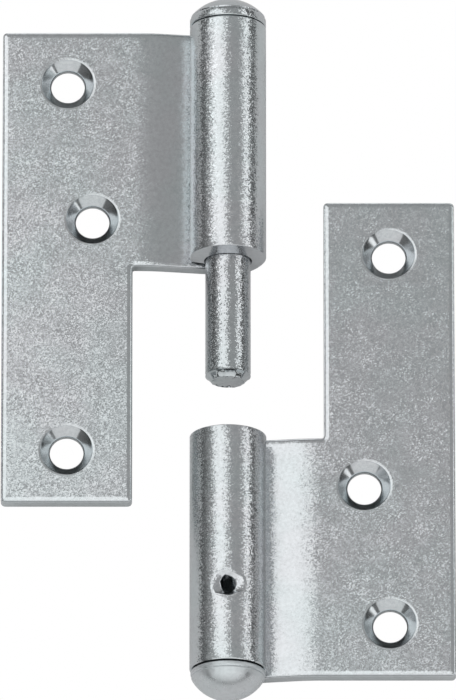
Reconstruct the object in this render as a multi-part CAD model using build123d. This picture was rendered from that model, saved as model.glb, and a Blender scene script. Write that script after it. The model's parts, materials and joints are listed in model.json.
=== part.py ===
"""Lift-off door hinge with rolled knuckles: two pressed steel leaves, a headed pin and a domed plug.

The hinge lies open on its back with the pin drawn clear of its socket. X runs across the leaves, Y along
the pin, towards its head, and Z out of the leaves' front faces. The origin is in the middle of the hinge,
level with the backs of the knuckles. All sizes are in millimetres.

Both leaves are the same pressing, and one is turned half a turn in its own plane.
"""

import os
from math import cos, radians, sin, tan

from build123d import *

# The leaves
LEAF_HEIGHT = 100.0
LEAF_REACH = 45.0  # from the pin axis to the outer edge
FLAP_WIDTH = 26.0  # the part of the leaf beside the other leaf's knuckle
KNUCKLE_LENGTH = 50.0
PLATE = 3.0
AXIS_ABOVE_FACE = 2.2  # from the leaf's front face forward to the pin axis
CORNER_RADIUS = 0.8
EDGE_ROUND = 0.3

# The bend from the leaf down to the back of the knuckle, and the knuckle's roll
BEND_ANGLE = 9.0
BEND_RADIUS = 34.0
BORE_RADIUS = 4.6
ROLL_END = 201.0  # where the rolled tongue ends, anticlockwise from straight out of the leaf

# Countersunk screw holes, as (distance from the knuckle's end, distance in from the outer edge)
SCREW_PLACES = [(11.0, 13.0), (40.0, 18.0), (89.0, 13.0)]
SCREW_HOLE_RADIUS = 3.35
COUNTERSINK_RADIUS = 5.3

# The oil hole, drilled and countersunk in the flat blank before it is rolled
OIL_HOLE_RADIUS = 1.95
OIL_COUNTERSINK_RADIUS = 2.8
OIL_HOLE_BELOW_MOUTH = 34.0

# The pin, and the plug that closes the socket
PIN_RADIUS = 4.5
PIN_REACH = 25.5  # how far the pin stands out of its knuckle
PIN_TIP_CHAMFER = 1.15
PIN_HEAD_RADIUS = 7.6
PIN_HEAD_RIM = 1.8  # the straight part of the head, below its dome
PLUG_STEM_LENGTH = 12.0
PLUG_STEM_CHAMFER = 0.8
PLUG_HEAD_RADIUS = 7.4
PLUG_HEAD_RIM = 0.95
PRESS_INTERFERENCE = 0.02

# Both heads stand equally far out of their knuckles
HEAD_HEIGHT = 5.65
HEAD_EDGE_CHAMFER = 0.3
HEAD_SEAT_GAP = 0.15

# How far the two knuckles stand apart with the pin drawn
LIFT = 36.5

KNUCKLE_RADIUS = BORE_RADIUS + PLATE
ROLL_RADIUS = BORE_RADIUS + PLATE / 2  # the middle of the plate's thickness
AXIS_HEIGHT = KNUCKLE_RADIUS
FRONT_FACE = -AXIS_ABOVE_FACE  # heights in the leaf's own frame are counted from the pin axis
KNUCKLE_END = LIFT / 2 + KNUCKLE_LENGTH


def section_side(out):
    """One side of the bent and rolled section, at a distance out from the middle of the plate.

    It runs along the flat leaf, round the bend, down the straight slope and round the roll. Sides with
    out above 0 are on the back of the plate, which becomes the outside of the knuckle.
    """
    slope = radians(BEND_ANGLE)
    middle = FRONT_FACE - PLATE / 2
    slope_length = (ROLL_RADIUS * cos(slope) + middle) / sin(slope)
    corner = -ROLL_RADIUS * sin(slope) - slope_length * cos(slope)
    bend_start = corner - BEND_RADIUS * tan(slope / 2)
    flat = Line((-LEAF_REACH, middle - out), (bend_start, middle - out))
    bend = JernArc(flat @ 1, (1, 0), BEND_RADIUS - out, -BEND_ANGLE)
    roll_radius = ROLL_RADIUS + out
    roll_start = (-roll_radius * sin(slope), -roll_radius * cos(slope))
    straight = Line(bend @ 1, roll_start)
    roll = CenterArc((0, 0), roll_radius, -90 - BEND_ANGLE, ROLL_END + 90 + BEND_ANGLE)
    return flat, bend, straight, roll


def rolled_section():
    """The section of the tongue and knuckle, across the pin axis."""
    outside = section_side(PLATE / 2)
    inside = section_side(-PLATE / 2)
    outer_edge = Line(outside[0] @ 0, inside[0] @ 0)
    roll_end = Line(outside[-1] @ 1, inside[-1] @ 1)
    return make_face([*outside, roll_end, *inside, outer_edge])


def flap():
    """The flat rest of the leaf, beside the other leaf's knuckle, as deep as the knuckle end."""
    flap_middle = -LEAF_REACH + FLAP_WIDTH / 2
    plate_middle = FRONT_FACE - PLATE / 2
    return Pos(flap_middle, -LEAF_HEIGHT / 2, plate_middle) * Box(FLAP_WIDTH, LEAF_HEIGHT, PLATE)


def screw_hole():
    """The cutter for one screw hole, with its mouth at the front face and its axis along Z."""
    depth = COUNTERSINK_RADIUS - SCREW_HOLE_RADIUS
    above = EDGE_ROUND
    mouth = Pos(0, 0, FRONT_FACE + (above - depth) / 2) * Cone(
        SCREW_HOLE_RADIUS, COUNTERSINK_RADIUS + above, depth + above
    )
    return mouth + Pos(0, 0, FRONT_FACE) * Cylinder(SCREW_HOLE_RADIUS, 3 * PLATE)


def leaf():
    """One pressed leaf, with its knuckle's end at y = 0, the pin axis along Y and the leaf towards -X."""
    tongue = extrude(Plane.XZ * rolled_section(), KNUCKLE_LENGTH)
    body = tongue + flap()
    corners = body.edges().filter_by(Axis.Z).group_by(Axis.X)[0]
    body = fillet(corners, CORNER_RADIUS)
    ends = body.faces().filter_by(Axis.Y).edges()
    sides = body.edges().filter_by(Axis.Y)
    outline = [edge for edge in ends + sides if not edge.is_closed]
    body = chamfer(unique_edges(outline), EDGE_ROUND)
    for from_end, from_edge in SCREW_PLACES:
        body -= Pos(-LEAF_REACH + from_edge, -from_end, 0) * screw_hole()
    return body


def unique_edges(edges):
    """The edges with each one once."""
    return list(dict.fromkeys(edges))


def oil_ellipse(radius, height):
    """A round hole in the blank as it is at a height above the pin axis, stretched or squeezed by the roll."""
    return Pos(0, 0, height) * Ellipse(radius * height / ROLL_RADIUS, radius)


def oil_hole():
    """The cutter for the oil hole, through the front of the knuckle and along Z from the pin axis."""
    sink_depth = OIL_COUNTERSINK_RADIUS - OIL_HOLE_RADIUS
    sink_bottom = KNUCKLE_RADIUS - sink_depth
    above = KNUCKLE_RADIUS + EDGE_ROUND
    through = loft([oil_ellipse(OIL_HOLE_RADIUS, BORE_RADIUS / 2), oil_ellipse(OIL_HOLE_RADIUS, above)])
    mouth = loft(
        [
            oil_ellipse(OIL_HOLE_RADIUS, sink_bottom),
            oil_ellipse(OIL_COUNTERSINK_RADIUS + EDGE_ROUND, above),
        ]
    )
    return through + mouth


def headed_shank(radius, length, chamfer_size, head_radius, head_rim):
    """A shank with a domed head, turned about Y, with the knuckle's end at y = 0 and the head above it."""
    rim_top = HEAD_SEAT_GAP + head_rim
    dome_height = HEAD_HEIGHT - rim_top
    dome_radius = (head_radius**2 + dome_height**2) / (2 * dome_height)
    side = Polyline(
        (0, HEAD_HEIGHT),
        (0, -length),
        (radius - chamfer_size, -length),
        (radius, -length + chamfer_size),
        (radius, HEAD_SEAT_GAP),
        (head_radius - HEAD_EDGE_CHAMFER, HEAD_SEAT_GAP),
        (head_radius, HEAD_SEAT_GAP + HEAD_EDGE_CHAMFER),
        (head_radius, rim_top),
    )
    dome = RadiusArc((head_radius, rim_top), (0, HEAD_HEIGHT), -dome_radius)
    return revolve(make_face([side, dome]), Axis.Y)


def at_pin_end(shape):
    """Moves a shape from its own frame to the pin leaf's end of the hinge."""
    return Pos(0, KNUCKLE_END, AXIS_HEIGHT) * shape


def at_socket_end(shape):
    """Moves a shape to the socket leaf's end of the hinge, turned half a turn about Z."""
    return Pos(0, -KNUCKLE_END, AXIS_HEIGHT) * Rot(0, 0, 180) * shape


def pin_leaf():
    """The leaf whose knuckle holds the pin."""
    return at_pin_end(leaf())


def hinge_pin():
    """The headed pin, which passes through its knuckle and stands out of it."""
    length = KNUCKLE_LENGTH + PIN_REACH
    return at_pin_end(
        headed_shank(PIN_RADIUS, length, PIN_TIP_CHAMFER, PIN_HEAD_RADIUS, PIN_HEAD_RIM)
    )


def socket_leaf():
    """The leaf whose knuckle drops over the pin, with an oil hole in the front of the knuckle."""
    from_end = KNUCKLE_LENGTH - OIL_HOLE_BELOW_MOUTH
    return at_socket_end(leaf() - Pos(0, -from_end, 0) * oil_hole())


def socket_plug():
    """The domed plug that closes the far end of the socket, with its stem pressed into the bore."""
    stem_radius = BORE_RADIUS + PRESS_INTERFERENCE
    return at_socket_end(
        headed_shank(
            stem_radius, PLUG_STEM_LENGTH, PLUG_STEM_CHAMFER, PLUG_HEAD_RADIUS, PLUG_HEAD_RIM
        )
    )


PIECES = {
    "pin_leaf": pin_leaf,
    "hinge_pin": hinge_pin,
    "socket_leaf": socket_leaf,
    "socket_plug": socket_plug,
}

os.makedirs("parts", exist_ok=True)
for name, build in PIECES.items():
    export_step(build(), f"parts/{name}.step")
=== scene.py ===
"""The looks of the lift-off door hinge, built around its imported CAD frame. All sizes are in metres."""

import json
from math import acos, atan2, cos, pi, radians, sin, tan

import bmesh
import bpy
import numpy as np
from mathutils import Matrix, Vector


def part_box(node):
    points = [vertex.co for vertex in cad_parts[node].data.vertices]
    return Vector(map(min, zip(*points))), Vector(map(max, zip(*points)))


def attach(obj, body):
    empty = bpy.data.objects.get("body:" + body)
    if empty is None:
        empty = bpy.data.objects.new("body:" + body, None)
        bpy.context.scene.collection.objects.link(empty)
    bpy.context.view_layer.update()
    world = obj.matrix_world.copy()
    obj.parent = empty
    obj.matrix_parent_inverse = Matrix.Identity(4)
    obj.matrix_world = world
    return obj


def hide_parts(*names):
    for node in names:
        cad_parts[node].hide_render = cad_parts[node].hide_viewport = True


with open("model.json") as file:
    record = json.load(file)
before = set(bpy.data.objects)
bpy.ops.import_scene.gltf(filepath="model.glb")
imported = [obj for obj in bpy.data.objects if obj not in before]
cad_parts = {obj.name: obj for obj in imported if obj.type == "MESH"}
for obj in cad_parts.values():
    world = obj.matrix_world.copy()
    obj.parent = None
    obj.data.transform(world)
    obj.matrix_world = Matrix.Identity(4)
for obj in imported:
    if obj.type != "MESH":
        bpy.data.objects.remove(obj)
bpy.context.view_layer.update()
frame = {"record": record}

MM = 0.001

# ---------------------------------------------------------------- sizes, from the frame where it has them
leaf_low, leaf_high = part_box("pin_leaf")
pin_low, pin_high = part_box("hinge_pin")
plug_low, plug_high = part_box("socket_plug")
mounts = {mount["name"]: mount for mount in frame["record"]["mounts"]}

AXIS_HEIGHT = (pin_low.z + pin_high.z) / 2
KNUCKLE_RADIUS = leaf_high.x
KNUCKLE_END = leaf_high.y
LEAF_REACH = -leaf_low.x
LEAF_HEIGHT = leaf_high.y - leaf_low.y
PIN_LENGTH = KNUCKLE_END - pin_low.y
PLUG_STEM_LENGTH = KNUCKLE_END + plug_high.y
PIN_HEAD_RADIUS = (pin_high.x - pin_low.x) / 2
PLUG_HEAD_RADIUS = (plug_high.x - plug_low.x) / 2
HEAD_HEIGHT = pin_high.y - KNUCKLE_END

# A leaf: a plate that bends down to the back of the knuckle and is rolled round the bore
PLATE = 3.0 * MM
FLAP_WIDTH = 26.0 * MM
KNUCKLE_LENGTH = 50.0 * MM
BORE_RADIUS = KNUCKLE_RADIUS - PLATE
ROLL_RADIUS = KNUCKLE_RADIUS - PLATE / 2
LEAF_MIDDLE = mounts["pin_leaf_back"]["pos_m"][2] + PLATE / 2 - AXIS_HEIGHT
BEND_ANGLE = radians(9.0)
BEND_RADIUS = 34.0 * MM
ROLL_END = radians(201.0)
CORNER_RADIUS = 0.9 * MM
LEAST_CORNER_RADIUS = 0.05 * MM
NOTCH_RADIUS = 0.4 * MM

# Its edges as the press leaves them: rolled over on the front up to a fine burr, and sharper behind
ROLLOVER_WIDTH = 1.1 * MM
ROLLOVER_DEPTH = 0.14 * MM
ROLLOVER_POWER = 1.3
EDGE_ROUND = 0.15 * MM
BURR_WIDTH = 0.11 * MM
BURR_HEIGHT = 0.09 * MM
BURR_BACK = 0.62 * pi

# Its screw holes, with the fine rings that the countersinking tool leaves
SCREW_HOLE_RADIUS = mounts["pin_leaf_middle_screw"]["dims"]["r_mm"] * MM
SCREW_SPACING = mounts["pin_leaf_end_screws"]["dims"]["spacing_y_mm"] * MM
COUNTERSINK_RADIUS = 5.3 * MM
HOLE_EDGE = 0.12 * MM
CHATTER_STEPS = 8
CHATTER_DEPTH = 0.016 * MM

# The oil hole of the socket leaf, which the roll stretches and tears. A wave is its number to the turn,
# its twist through the plate's thickness, and its phase.
OIL_HOLE_RADIUS = 1.95 * MM
OIL_COUNTERSINK_RADIUS = 2.8 * MM
OIL_HOLE_BELOW_MOUTH = 34.0 * MM
TEAR = 0.06
TEAR_WAVES = ((3, 4, 0), (7, -5, 1), (11, 3, 0))
TORN_WIDTH = 0.68
TORN_FACETS = 13

# Rolling a thick plate draws the outside of the knuckle's free end back along the axis, by more and more
# from the start of the roll. The skin of the other end is worn back where the head is driven against it.
END_DRAW = 0.75 * MM
END_DRAW_REACH = 3.0 * MM
DRAW_START = radians(10)
DRAW_SPAN = radians(80)
WORN_SKIN = 0.3 * MM
PIN_LEAF_WEAR = 0.25 * MM
SOCKET_LEAF_WEAR = 0.45 * MM

# The pin, and the plug that closes the socket
PIN_RADIUS = 4.5 * MM
PIN_TIP_CHAMFER = 1.15 * MM
PLUG_STEM_CHAMFER = 0.8 * MM
SHANK_BURR = 0.14 * MM
BATTER = 0.07 * MM
BATTER_WAVES = ((3, 0, 1), (7, 0, 0), (13, 0, 2))
PIN_HEAD_RIM = 1.8 * MM
PLUG_HEAD_RIM = 0.95 * MM
HEAD_SEAT_GAP = 0.07 * MM
HEAD_EDGE_ROUND = 0.25 * MM
HEAD_LIP = 0.2 * MM

# How finely the meshes are made
TURNED_SEGMENTS = 144
COUNTERSINK_SEGMENTS = 96
HEAD_EDGE_POINTS = 6
DOME_POINTS = 26
CORNER_POINTS = 7
EDGE_ROUND_POINTS = 4
ROLLOVER_POINTS = 6
BEND_CUTS = 6
ROLL_CUTS = 110
END_CUTS = (1.6 * MM, 2.6 * MM, 4.0 * MM, 6.0 * MM, 9.0 * MM)
PLANE_TOLERANCE = 0.0001 * MM
MERGE_DISTANCE = 0.004 * MM
SHARP_ANGLE = radians(32)

# The zinc: the sizes of what varies over it, how far from the pin axis the grain of rolled metal fades out,
# and how much of the roughness a cut face keeps
CRYSTAL = 0.22 * MM
MOTTLE = 0.7 * MM
HAZE = 3.0 * MM
GRAIN_PATCH = 3.5 * MM
WAVE = 9.0 * MM
WAVE_HEIGHT = 0.09 * MM
TINT = 16.0 * MM
ROLLED_REACH = 1.4 * KNUCKLE_RADIUS
CUT_SHINE = 0.6


# ---------------------------------------------------------------- small mesh helpers
def mesh_object(name, bm):
    """A new object made of a bmesh, which is then freed."""
    mesh = bpy.data.meshes.new(name)
    bmesh.ops.recalc_face_normals(bm, faces=bm.faces)
    bm.to_mesh(mesh)
    bm.free()
    made = bpy.data.objects.new(name, mesh)
    bpy.context.scene.collection.objects.link(made)
    return made


def ring_faces(bm, rings):
    """Joins each ring of vertices to the next one with quads."""
    for lower, upper in zip(rings, rings[1:]):
        count = len(lower)
        for i in range(count):
            j = (i + 1) % count
            bm.faces.new((lower[i], lower[j], upper[j], upper[i]))


def shade(made):
    """Smooth shading with sharp edges kept, and large faces left flat."""
    bm = bmesh.new()
    bm.from_mesh(made.data)
    for face in bm.faces:
        face.smooth = True
    for edge in bm.edges:
        if len(edge.link_faces) == 2:
            edge.smooth = edge.calc_face_angle(0) < SHARP_ANGLE
    bm.to_mesh(made.data)
    bm.free()
    weighted = made.modifiers.new("weighted normals", "WEIGHTED_NORMAL")
    weighted.keep_sharp = True


def lathe(name, profile, segments):
    """A closed solid turned about Y from (radius, y) points that start and end on the axis."""
    bm = bmesh.new()
    rings = []
    turns = [2 * pi * i / segments for i in range(segments)]
    for radius, y in profile[1:-1]:
        rings.append([bm.verts.new((radius * cos(turn), y, radius * sin(turn))) for turn in turns])
    ring_faces(bm, rings)
    for ring, (_, y) in ((rings[0], profile[0]), (rings[-1], profile[-1])):
        centre = bm.verts.new((0, y, 0))
        for i in range(segments):
            bm.faces.new((ring[i], ring[(i + 1) % segments], centre))
    return mesh_object(name, bm)


def arc(centre, radius, start, end, count):
    """Points on an arc, as (x, y), with the angles in radians and both ends included."""
    angles = np.linspace(start, end, count)
    return [(centre[0] + radius * cos(angle), centre[1] + radius * sin(angle)) for angle in angles]


def unevenness(waves, turn, depth=0):
    """How far out of true an edge is at a turn and a depth, as a sum of waves round it."""
    return sum(sin(number * turn + twist * depth + phase) for number, twist, phase in waves)


# ---------------------------------------------------------------- the leaf, made flat and then rolled
def roll_path():
    """Where the bend, the slope and the roll start and the plate ends, as lengths along its middle."""
    slope_length = (ROLL_RADIUS * cos(BEND_ANGLE) + LEAF_MIDDLE) / sin(BEND_ANGLE)
    corner = -ROLL_RADIUS * sin(BEND_ANGLE) - slope_length * cos(BEND_ANGLE)
    tangent = BEND_RADIUS * tan(BEND_ANGLE / 2)
    bend_start = LEAF_REACH + corner - tangent
    slope_start = bend_start + BEND_RADIUS * BEND_ANGLE
    roll_start = slope_start + slope_length - tangent
    end = roll_start + ROLL_RADIUS * (ROLL_END + pi / 2 + BEND_ANGLE)
    return bend_start, slope_start, roll_start, end


BEND_START, SLOPE_START, ROLL_START, BLANK_LENGTH = roll_path()


def roll_blank(points, head_end_wear):
    """Moves points of the flat blank to where the bent and rolled leaf has them.

    A blank point is (length from the outer edge, y, distance in front of the plate's middle). The result
    is in the leaf's own frame, with the pin axis along Y and the knuckle's head end at y = 0.
    """
    length, y, front = points.T
    bend = np.clip((length - BEND_START) / BEND_RADIUS, 0, BEND_ANGLE)
    turn = np.maximum(length - ROLL_START, 0) / ROLL_RADIUS
    heading = turn - bend
    flat = np.minimum(length, BEND_START)
    straight = np.clip(length, SLOPE_START, ROLL_START) - SLOPE_START
    x = -LEAF_REACH + flat + BEND_RADIUS * np.sin(bend) + straight * cos(BEND_ANGLE)
    z = LEAF_MIDDLE - BEND_RADIUS * (1 - np.cos(bend)) - straight * sin(BEND_ANGLE)
    rolled = length > ROLL_START
    x = np.where(rolled, ROLL_RADIUS * np.sin(heading), x)
    z = np.where(rolled, -ROLL_RADIUS * np.cos(heading), z)
    x -= front * np.sin(heading)
    z += front * np.cos(heading)
    return np.column_stack((x, y + end_draw(turn, y, front, head_end_wear), z))


def end_draw(turn, y, front, head_end_wear):
    """How far along the axis a point moves in from the nearer end of the knuckle.

    The free end is drawn back all through the plate, most on the outside. The head end is only worn back
    in its outer skin.
    """
    growth = np.clip((turn - DRAW_START) / DRAW_SPAN, 0, 1)
    eased = growth * growth * (3 - 2 * growth)
    from_head = np.maximum(-y, 0)
    from_free = np.maximum(KNUCKLE_LENGTH + y, 0)
    outside = 0.5 - front / PLATE
    skin = np.clip(1 - (front + PLATE / 2) / WORN_SKIN, 0, 1)
    free_end = END_DRAW * outside * np.exp(-from_free / END_DRAW_REACH)
    head_end = head_end_wear * skin * np.exp(-from_head / END_DRAW_REACH)
    return eased * (free_end - head_end)


def blank_outline(inset):
    """The blank's outline, moved in by inset, as (length, y) points, anticlockwise from the top left."""
    low, notch = -LEAF_HEIGHT + inset, -KNUCKLE_LENGTH + inset
    left, inner, right, top = inset, FLAP_WIDTH - inset, BLANK_LENGTH - inset, -inset
    outer = max(CORNER_RADIUS - inset, LEAST_CORNER_RADIUS)
    hollow = NOTCH_RADIUS + inset
    quarter = pi / 2
    corners = [
        (left + outer, top - outer, outer, quarter, 2 * quarter),
        (left + outer, low + outer, outer, 2 * quarter, 3 * quarter),
        (inner - outer, low + outer, outer, 3 * quarter, 4 * quarter),
        (inner + hollow, notch - hollow, hollow, 2 * quarter, quarter),
        (right - outer, notch + outer, outer, 3 * quarter, 4 * quarter),
        (right - outer, top - outer, outer, 0, quarter),
    ]
    points = []
    for x, y, radius, start, end in corners:
        points += arc((x, y), radius, start, end, CORNER_POINTS)
    return points


def edge_profile():
    """The plate's edge from the back face round to the front face, as (inset, height from the middle)."""
    back_centre = (EDGE_ROUND, EDGE_ROUND - PLATE / 2)
    back = arc(back_centre, EDGE_ROUND, -pi / 2, -pi, EDGE_ROUND_POINTS)
    shoulder = PLATE / 2 - ROLLOVER_DEPTH
    front = arc((EDGE_ROUND, shoulder - EDGE_ROUND), EDGE_ROUND, pi, BURR_BACK, EDGE_ROUND_POINTS)
    burr_foot = EDGE_ROUND + BURR_WIDTH
    front.append((burr_foot, shoulder - BURR_HEIGHT))
    rollover_start = burr_foot + BURR_WIDTH
    reach = ROLLOVER_WIDTH - rollover_start
    for share in np.linspace(0, 1, ROLLOVER_POINTS):
        drop = ROLLOVER_DEPTH * (1 - share) ** ROLLOVER_POWER
        front.append((rollover_start + reach * share, PLATE / 2 - drop))
    return back + front


def blank_mesh():
    """The flat blank, cut across wherever the roll will curve it or draw its ends."""
    bm = bmesh.new()
    rings = []
    for inset, height in edge_profile():
        rings.append([bm.verts.new((x, y, height)) for x, y in blank_outline(inset)])
    ring_faces(bm, rings)
    bm.faces.new(rings[0])
    bm.faces.new(rings[-1])
    bends = np.linspace(BEND_START, SLOPE_START, BEND_CUTS)
    rolls = np.linspace(ROLL_START, BLANK_LENGTH - ROLLOVER_WIDTH, ROLL_CUTS)
    for length in [*bends, *rolls]:
        cut_across(bm, (length, 0, 0), (1, 0, 0))
    for from_end in END_CUTS:
        for y in (-from_end, from_end - KNUCKLE_LENGTH):
            cut_across(bm, (0, y, 0), (0, 1, 0))
    return bm


def cut_across(bm, point, normal):
    """Adds an edge loop where a plane meets the mesh."""
    everything = bm.verts[:] + bm.edges[:] + bm.faces[:]
    bmesh.ops.bisect_plane(bm, geom=everything, plane_co=point, plane_no=normal, dist=PLANE_TOLERANCE)


def hole_cutter(hole, mouth, segments):
    """A cutter for a countersunk hole, as a lathe about Z, with its mouth at z = PLATE / 2.

    It leaves fine rings down the cone, and a lip and a fine groove round the mouth.
    """
    top = PLATE / 2
    depth = mouth - hole
    beyond, above = 1.0 * MM, 0.4 * MM
    cone_foot, cone_head = 0.05 * MM, depth - 0.06 * MM
    wall_top = top - depth - 0.08 * MM
    lip, groove_start, groove_depth = 0.03 * MM, 0.01 * MM, 0.04 * MM
    cone = []
    for step, along in enumerate(np.linspace(cone_foot, cone_head, CHATTER_STEPS)):
        ring = CHATTER_DEPTH * (step % 2)
        cone.append((hole + along - ring, top - depth + along + ring))
    profile = [
        (0, -top - beyond),
        (hole + beyond, -top - beyond),
        (hole + HOLE_EDGE, -top),
        (hole, -top + HOLE_EDGE),
        (hole, wall_top),
        *cone,
        (mouth + lip, top - lip),
        (mouth + HOLE_EDGE, top - groove_start),
        (mouth + 1.5 * HOLE_EDGE, top - groove_depth),
        (mouth + 3 * HOLE_EDGE, top),
        (mouth + 3 * HOLE_EDGE + beyond, top + above),
        (0, top + above),
    ]
    cutter = lathe("cutter", profile, segments)
    cutter.data.transform(Matrix.Rotation(pi / 2, 4, "X"))
    return cutter


def tear(cutter):
    """Makes the oil hole's cutter uneven all round, and narrow below its countersink."""
    sink_bottom = PLATE / 2 - OIL_COUNTERSINK_RADIUS + OIL_HOLE_RADIUS
    for vertex in cutter.data.vertices:
        x, y, z = vertex.co
        swell = 1 + TEAR * unevenness(TEAR_WAVES, atan2(y, x), z / PLATE)
        open_share = min(max((z - sink_bottom) / (PLATE / 2 - sink_bottom), 0), 1)
        narrow = TORN_WIDTH + (1 - TORN_WIDTH) * open_share
        vertex.co = Vector((x * narrow * swell, y * swell, z))


def screw_places():
    """The screw holes' centres in the blank, as (length, y), from the pin leaf's mounts."""
    ends = mounts["pin_leaf_end_screws"]["pos_m"]
    middle = mounts["pin_leaf_middle_screw"]["pos_m"]
    places = [(ends[0], ends[1] + SCREW_SPACING / 2), (ends[0], ends[1] - SCREW_SPACING / 2)]
    places.append((middle[0], middle[1]))
    return [(x + LEAF_REACH, y - KNUCKLE_END) for x, y in places]


def screw_cutters():
    """The cutters for the three screw holes."""
    cutters = []
    for length, y in screw_places():
        cutter = hole_cutter(SCREW_HOLE_RADIUS, COUNTERSINK_RADIUS, COUNTERSINK_SEGMENTS)
        cutter.data.transform(Matrix.Translation((length, y, 0)))
        cutters.append(cutter)
    return cutters


def oil_cutter():
    """The cutter for the oil hole, from the back of the blank, which the roll turns to the front."""
    cutter = hole_cutter(OIL_HOLE_RADIUS, OIL_COUNTERSINK_RADIUS, TORN_FACETS)
    tear(cutter)
    length = ROLL_START + ROLL_RADIUS * (pi + BEND_ANGLE)
    y = OIL_HOLE_BELOW_MOUTH - KNUCKLE_LENGTH
    cutter.data.transform(Matrix.Translation((length, y, 0)) @ Matrix.Rotation(pi, 4, "X"))
    return cutter


def cut(made, cutters):
    """Takes the cutters out of an object and removes them."""
    for cutter in cutters:
        boolean = made.modifiers.new("cut", "BOOLEAN")
        boolean.object = cutter
        boolean.solver = "EXACT"
    evaluated = made.evaluated_get(bpy.context.evaluated_depsgraph_get())
    result = bpy.data.meshes.new_from_object(evaluated)
    made.modifiers.clear()
    made.data = result
    for cutter in cutters:
        bpy.data.objects.remove(cutter)
    bm = bmesh.new()
    bm.from_mesh(result)
    bmesh.ops.remove_doubles(bm, verts=bm.verts, dist=MERGE_DISTANCE)
    bmesh.ops.dissolve_degenerate(bm, edges=bm.edges, dist=MERGE_DISTANCE)
    bm.to_mesh(result)
    bm.free()


def leaf(name, cutters, head_end_wear):
    """A leaf in its own frame: blanked, pierced, bent and rolled, as the press does it."""
    made = mesh_object(name, blank_mesh())
    cut(made, cutters)
    points = np.empty(len(made.data.vertices) * 3)
    made.data.vertices.foreach_get("co", points)
    rolled = roll_blank(points.reshape(-1, 3), head_end_wear)
    made.data.vertices.foreach_set("co", rolled.ravel())
    made.data.update()
    return made


# ---------------------------------------------------------------- the turned pieces
def head_profile(stem_radius, radius, rim):
    """The domed head's outline from the stem out and up to the top of the dome, as (radius, y) points."""
    rim_top = HEAD_SEAT_GAP + rim
    dome_height = HEAD_HEIGHT - rim_top
    dome_radius = (radius**2 + dome_height**2) / (2 * dome_height)
    dome_span = acos(1 - dome_height / dome_radius)
    lip_end = dome_span * 0.96
    edge_centre = (radius - HEAD_EDGE_ROUND, HEAD_SEAT_GAP + HEAD_EDGE_ROUND)
    under = [(stem_radius, HEAD_SEAT_GAP)]
    under += arc(edge_centre, HEAD_EDGE_ROUND, -pi / 2, 0, HEAD_EDGE_POINTS)
    side = [
        (radius, rim_top - 2 * HEAD_LIP),
        (radius - HEAD_LIP, rim_top - 0.3 * HEAD_LIP),
        (radius - 1.3 * HEAD_LIP, rim_top),
    ]
    spans = np.linspace(lip_end, 0, DOME_POINTS)
    centre = HEAD_HEIGHT - dome_radius
    dome = [(dome_radius * sin(span), centre + dome_radius * cos(span)) for span in spans]
    return under + side + dome


def shank_profile(radius, length, chamfer):
    """A shank's outline from the middle of its end to the head, as (radius, y) points.

    The tool that turns the chamfer pushes up a burr at both of its edges.
    """
    burr = SHANK_BURR
    rim = radius - chamfer
    end = -length
    shoulder = end + chamfer
    return [
        (0, end + 0.5 * burr),
        (rim - 2 * burr, end + 0.5 * burr),
        (rim - burr, end),
        (rim, end + 0.3 * burr),
        (rim + burr, end + 2.2 * burr),
        (radius - 2 * burr, shoulder - burr),
        (radius, shoulder),
        (radius, shoulder + 0.3 * burr),
        (radius - burr, shoulder + 1.9 * burr),
        (radius, shoulder + 4.5 * burr),
    ]


def batter(made, end, reach):
    """Pushes the turned end of a shank in and out along its axis, as knocks and a blunt tool leave it."""
    for vertex in made.data.vertices:
        x, y, z = vertex.co
        fade = max(0, 1 - (y - end) / reach)
        above_end = min(1, (y - end) / BATTER)
        vertex.co.y = y + BATTER * fade * above_end * unevenness(BATTER_WAVES, atan2(z, x))


def headed_shank(name, radius, length, chamfer, head_radius, head_rim):
    """The pin or the plug in its own frame, with the knuckle's end at y = 0."""
    head = head_profile(radius, head_radius, head_rim)
    made = lathe(name, shank_profile(radius, length, chamfer) + head, TURNED_SEGMENTS)
    batter(made, -length, 2 * chamfer)
    return made


# ---------------------------------------------------------------- shader helpers
def nodes_of(owner):
    """The node tree of a material or a world, emptied."""
    owner.use_nodes = True
    tree = owner.node_tree
    tree.nodes.clear()
    return tree


def add(tree, kind, inputs=(), **settings):
    """A new shader node with its settings and inputs, by name or number, linked where one is a socket."""
    node = tree.nodes.new(kind)
    for name, value in settings.items():
        setattr(node, name, value)
    for name, value in dict(inputs).items():
        if isinstance(value, bpy.types.NodeSocket):
            tree.links.new(value, node.inputs[name])
        else:
            node.inputs[name].default_value = value
    return node


def noise(tree, place, size, detail, roughness):
    """Noise with features about as large as size, in metres."""
    inputs = {"Vector": place, "Scale": 1 / size, "Detail": detail, "Roughness": roughness}
    return add(tree, "ShaderNodeTexNoise", inputs).outputs["Fac"]


def ramp(tree, value, from_range, low_color, high_color):
    """Colours between low_color and high_color as a value goes from one end of a range to the other."""
    node = add(tree, "ShaderNodeValToRGB", {"Fac": value})
    for end, position, color in zip(node.color_ramp.elements, from_range, (low_color, high_color)):
        end.position = position
        end.color = color
    return node.outputs["Color"]


def grey(value):
    """An opaque grey."""
    return (value, value, value, 1)


def maths(tree, operation, *values):
    """What a maths operation makes of values."""
    return add(tree, "ShaderNodeMath", dict(enumerate(values)), operation=operation).outputs[0]


def vector_maths(tree, operation, *vectors):
    """The vector that a vector operation makes of vectors."""
    return add(tree, "ShaderNodeVectorMath", dict(enumerate(vectors)), operation=operation).outputs[0]


def part_of(tree, vector, letter):
    """The X, Y or Z of a vector."""
    return add(tree, "ShaderNodeSeparateXYZ", {"Vector": vector}).outputs[letter]


def mapped(tree, value, from_range, to_range):
    """A value carried over from one range to another, and kept inside it."""
    inputs = {"Value": value}
    inputs["From Min"], inputs["From Max"] = from_range
    inputs["To Min"], inputs["To Max"] = to_range
    return add(tree, "ShaderNodeMapRange", inputs).outputs["Result"]


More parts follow.
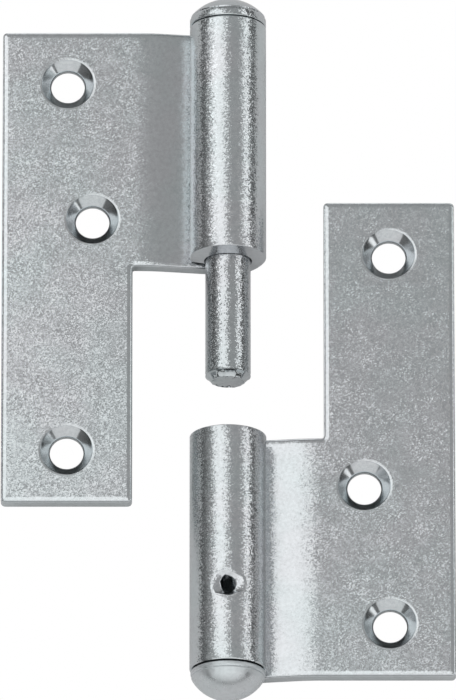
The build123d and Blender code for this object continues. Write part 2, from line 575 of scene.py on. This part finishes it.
# ---------------------------------------------------------------- the zinc
def rolled_share(tree, place):
    """How far a point is on rolled or turned metal, which lies within the knuckle's radius of the axis."""
    across = maths(tree, "ABSOLUTE", part_of(tree, place, "X"))
    return mapped(tree, across, (KNUCKLE_RADIUS, ROLLED_REACH), (1.0, 0.0))


def skin_share(tree, place):
    """How far a point is on the metal's skin and not on a cut face.

    Skin faces up or down on the leaf, and straight out from the pin axis on what is round.
    """
    normal = add(tree, "ShaderNodeTexCoord").outputs["Normal"]
    upright = maths(tree, "ABSOLUTE", part_of(tree, normal, "Z"))
    centred = vector_maths(tree, "SUBTRACT", place, (0, 0, AXIS_HEIGHT))
    outward = vector_maths(tree, "NORMALIZE", vector_maths(tree, "MULTIPLY", centred, (1, 0, 1)))
    along_outward = add(tree, "ShaderNodeVectorMath", {0: outward, 1: normal}, operation="DOT_PRODUCT")
    straight_out = maths(tree, "ABSOLUTE", along_outward.outputs["Value"])
    square_on = (0.80, 0.95)
    flat_skin = mapped(tree, upright, square_on, (0.0, 1.0))
    round_skin = mapped(tree, straight_out, square_on, (0.0, 1.0))
    return maths(tree, "MAXIMUM", flat_skin, round_skin)


def grain_tilt(tree, place, skin, flat_grain, rolled_grain):
    """How far the crystals lean: most on rolled metal, in patches on the flat, and least on cut faces."""
    patches = noise(tree, place, GRAIN_PATCH, detail=3.0, roughness=0.6)
    patch_edge = (0.40, 0.62)
    on_flat = mapped(tree, patches, patch_edge, (0.5 * flat_grain, flat_grain))
    on_round = mapped(tree, rolled_share(tree, place), (0.0, 1.0), (0.0, rolled_grain))
    return maths(tree, "MULTIPLY", maths(tree, "MAXIMUM", on_flat, on_round), skin)


def crystal_facets(tree, place, tilt):
    """A normal that leans at random from one zinc crystal to the next, by up to about half of tilt."""
    crystals = add(tree, "ShaderNodeTexVoronoi", {"Vector": place, "Scale": 1 / CRYSTAL})
    centred = vector_maths(tree, "SUBTRACT", crystals.outputs["Color"], (0.5, 0.5, 0.5))
    lean = add(tree, "ShaderNodeVectorMath", {0: centred, "Scale": tilt}, operation="SCALE").outputs[0]
    surface = add(tree, "ShaderNodeNewGeometry").outputs["Normal"]
    return vector_maths(tree, "NORMALIZE", vector_maths(tree, "ADD", surface, lean))


def zinc_color(tree, place, tone):
    """Broad cool and warm tints, and a fine mottle that darkens them a little."""
    cool = (tone * 0.93, tone * 1.0, tone * 1.02, 1)
    warm = (tone * 0.96, tone * 0.99, tone * 1.02, 1)
    tint = noise(tree, place, TINT, detail=3.0, roughness=0.55)
    tinted = ramp(tree, tint, (0.40, 0.62), cool, warm)
    mottle = noise(tree, place, MOTTLE, detail=3.0, roughness=0.65)
    mottled = ramp(tree, mottle, (0.30, 0.60), grey(0.90), grey(1.0))
    inputs = {"Factor": 1.0, 6: tinted, 7: mottled}
    return add(tree, "ShaderNodeMix", inputs, data_type="RGBA", blend_type="MULTIPLY").outputs[2]


def zinc_roughness(tree, place, skin, roughness):
    """The roughness, hazier in some places than in others, and lower on cut faces."""
    haze = noise(tree, place, HAZE, detail=3.0, roughness=0.6)
    on_skin = mapped(tree, haze, (0.3, 0.7), (roughness * 0.85, roughness * 1.15))
    kept = mapped(tree, skin, (0.0, 1.0), (CUT_SHINE, 1.0))
    return maths(tree, "MULTIPLY", on_skin, kept)


def zinc(name, tone, roughness, flat_grain, rolled_grain):
    """Clear zinc plating: a fine crystalline grain, stronger in patches, under faint tints."""
    material = bpy.data.materials.new(name)
    tree = nodes_of(material)
    place = add(tree, "ShaderNodeTexCoord").outputs["Object"]
    skin = skin_share(tree, place)
    tilt = grain_tilt(tree, place, skin, flat_grain, rolled_grain)
    waved = {
        "Distance": WAVE_HEIGHT,
        "Height": noise(tree, place, WAVE, detail=1.0, roughness=0.5),
        "Normal": crystal_facets(tree, place, tilt),
    }
    surface = {
        "Base Color": zinc_color(tree, place, tone),
        "Roughness": zinc_roughness(tree, place, skin, roughness),
        "Normal": add(tree, "ShaderNodeBump", waved).outputs["Normal"],
        "Metallic": 1.0,
    }
    shader = add(tree, "ShaderNodeBsdfPrincipled", surface)
    add(tree, "ShaderNodeOutputMaterial", {"Surface": shader.outputs["BSDF"]})
    return material


# ---------------------------------------------------------------- putting the pieces in place
def at_pin_end(made):
    """Moves a piece from its own frame to the pin leaf's end of the hinge."""
    made.data.transform(Matrix.Translation((0, KNUCKLE_END, AXIS_HEIGHT)))


def at_socket_end(made):
    """Moves a piece to the socket leaf's end of the hinge, turned half a turn about Z."""
    made.data.transform(Matrix.Translation((0, -KNUCKLE_END, AXIS_HEIGHT)) @ Matrix.Rotation(pi, 4, "Z"))


def finish_piece(made, place, material, body, node):
    """Places, shades and finishes a piece, which rides on a body and stands for a CAD node."""
    place(made)
    shade(made)
    made.data.materials.clear()
    made.data.materials.append(material)
    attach(made, body)
    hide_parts(node)


def build_hinge():
    """The four pieces of the hinge."""
    leaf_zinc = zinc("leaf_zinc", tone=0.68, roughness=0.22, flat_grain=0.14, rolled_grain=0.20)
    pin_zinc = zinc("pin_zinc", tone=0.64, roughness=0.18, flat_grain=0.24, rolled_grain=0.24)
    plug_zinc = zinc("plug_zinc", tone=0.74, roughness=0.48, flat_grain=0.30, rolled_grain=0.30)
    pin_leaf = leaf("pin_leaf_plate", screw_cutters(), PIN_LEAF_WEAR)
    finish_piece(pin_leaf, at_pin_end, leaf_zinc, "pin_side", "pin_leaf")
    socket_leaf = leaf("socket_leaf_plate", [*screw_cutters(), oil_cutter()], SOCKET_LEAF_WEAR)
    finish_piece(socket_leaf, at_socket_end, leaf_zinc, "socket_side", "socket_leaf")
    pin = headed_shank(
        "headed_pin", PIN_RADIUS, PIN_LENGTH, PIN_TIP_CHAMFER, PIN_HEAD_RADIUS, PIN_HEAD_RIM
    )
    finish_piece(pin, at_pin_end, pin_zinc, "pin", "hinge_pin")
    plug = headed_shank(
        "domed_plug", BORE_RADIUS, PLUG_STEM_LENGTH, PLUG_STEM_CHAMFER, PLUG_HEAD_RADIUS, PLUG_HEAD_RIM
    )
    finish_piece(plug, at_socket_end, plug_zinc, "socket_side", "socket_plug")


# ---------------------------------------------------------------- the studio
def floor_material():
    """A pale matt floor: evenly white to the camera, and lit by the lamps where the metal reflects it."""
    material = bpy.data.materials.new("pale_floor")
    tree = nodes_of(material)
    seen = add(tree, "ShaderNodeLightPath").outputs["Is Camera Ray"]
    matt = add(tree, "ShaderNodeBsdfDiffuse", {"Color": grey(0.85)}).outputs["BSDF"]
    white = add(tree, "ShaderNodeEmission", {"Color": grey(1.0)}).outputs["Emission"]
    shown = add(tree, "ShaderNodeMixShader", {"Fac": seen, 1: matt, 2: white})
    add(tree, "ShaderNodeOutputMaterial", {"Surface": shown.outputs["Shader"]})
    return material


def area_light(name, width, length, radiance):
    """A rectangular lamp at the origin, facing down, with the same radiance all over its face."""
    light = bpy.data.lights.new(name, "AREA")
    light.shape = "RECTANGLE"
    light.size = width
    light.size_y = length
    light.energy = radiance * pi * light.size * light.size_y
    made = bpy.data.objects.new(name, light)
    bpy.context.scene.collection.objects.link(made)
    return made


def softbox(name, distance, angle, spread, along, length, turn, radiance):
    """A softbox seen from the hinge at an angle to the right of straight above.

    It spans the angle spread across and its length along, is centred at y = along, and is turned in its
    own plane.
    """
    made = area_light(name, 2 * distance * tan(spread / 2), length, radiance)
    swung = Matrix.Translation((0, along, 0)) @ Matrix.Rotation(angle, 4, "Y")
    made.matrix_world = swung @ Matrix.Translation((0, 0, distance)) @ Matrix.Rotation(turn, 4, "Z")


def front_card():
    """A pale card on the near side of the hinge, low down, which lights the walls that face the camera."""
    made = area_light("front_card", width=1.9, length=1.0, radiance=0.60)
    made.location = (0, -0.85, 0.55)
    made.rotation_euler = (radians(57), 0, 0)


def studio_world():
    """Soft grey surroundings, lighter overhead and dark at the horizon."""
    world = bpy.data.worlds.new("studio")
    tree = nodes_of(world)
    height = part_of(tree, add(tree, "ShaderNodeTexCoord").outputs["Generated"], "Z")
    surroundings = ramp(tree, height, (0.10, 0.6), grey(0.05), grey(0.40))
    background = add(tree, "ShaderNodeBackground", {"Color": surroundings})
    add(tree, "ShaderNodeOutputWorld", {"Surface": background.outputs["Background"]})
    bpy.context.scene.world = world


def pale_floor():
    """The floor that the hinge lies on, which isn't part of it."""
    bm = bmesh.new()
    bmesh.ops.create_grid(bm, x_segments=8, y_segments=8, size=2.0)
    floor = mesh_object("floor", bm)
    floor.data.materials.append(floor_material())


def lamps():
    """Two softboxes to the left, a strip light to the right and a card in front."""
    softbox(
        "key_softbox",
        distance=0.85,
        angle=radians(-20.1),
        spread=radians(34.5),
        along=0.21,
        length=1.5,
        turn=radians(30),
        radiance=0.88,
    )
    softbox(
        "near_softbox",
        distance=0.25,
        angle=radians(-52),
        spread=radians(24),
        along=0.36,
        length=0.45,
        turn=0,
        radiance=0.6,
    )
    softbox(
        "strip_light",
        distance=1.0,
        angle=radians(61),
        spread=radians(16),
        along=0.25,
        length=1.8,
        turn=radians(15),
        radiance=1.1,
    )
    front_card()


def camera():
    """A long lens, straight over the pin axis and tipped back from straight down."""
    tilt = radians(20.7)
    distance = 3.0
    frame_height = 138.9 * MM
    below = 0.45 * MM
    data = bpy.data.cameras.new("camera")
    data.lens = data.sensor_width * distance / frame_height
    made = bpy.data.objects.new("camera", data)
    bpy.context.scene.collection.objects.link(made)
    view_back = Vector((0, -sin(tilt), cos(tilt)))
    view_up = Vector((0, cos(tilt), sin(tilt)))
    made.location = Vector((0, 0, AXIS_HEIGHT)) - below * view_up + distance * view_back
    made.rotation_euler = (tilt, 0, 0)
    bpy.context.scene.camera = made


build_hinge()
pale_floor()
lamps()
studio_world()
camera()
bpy.context.scene.view_settings.view_transform = "Standard"
